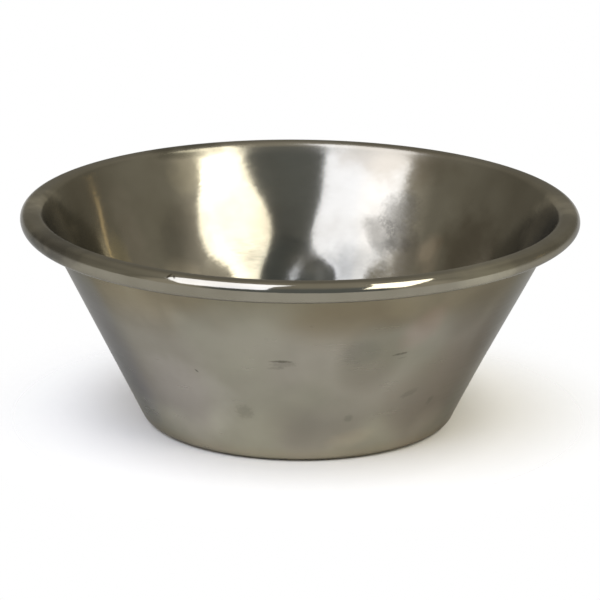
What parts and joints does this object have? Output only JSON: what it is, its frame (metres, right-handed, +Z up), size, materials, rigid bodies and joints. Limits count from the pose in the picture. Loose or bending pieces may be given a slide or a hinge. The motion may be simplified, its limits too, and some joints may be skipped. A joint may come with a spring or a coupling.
{
  "type": "ramekin",
  "caption": "Small flared steel ramekin with a flat base and a rolled hollow rim, for sauces, dips and single portions.",
  "frame": {"origin": "centre of the underside, on the surface that the cup stands on", "axes": "+Z up along the cup's axis; the cup is turned, so +X and +Y are any two level directions"},
  "size_m": [0.077, 0.077, 0.03],
  "materials": {
    "satin_steel": "satin polish, brighter inside, with light handling marks"
  },
  "bodies": {
    "root": {"pressed_cup": "satin_steel"}
  },
  "joints": []
}
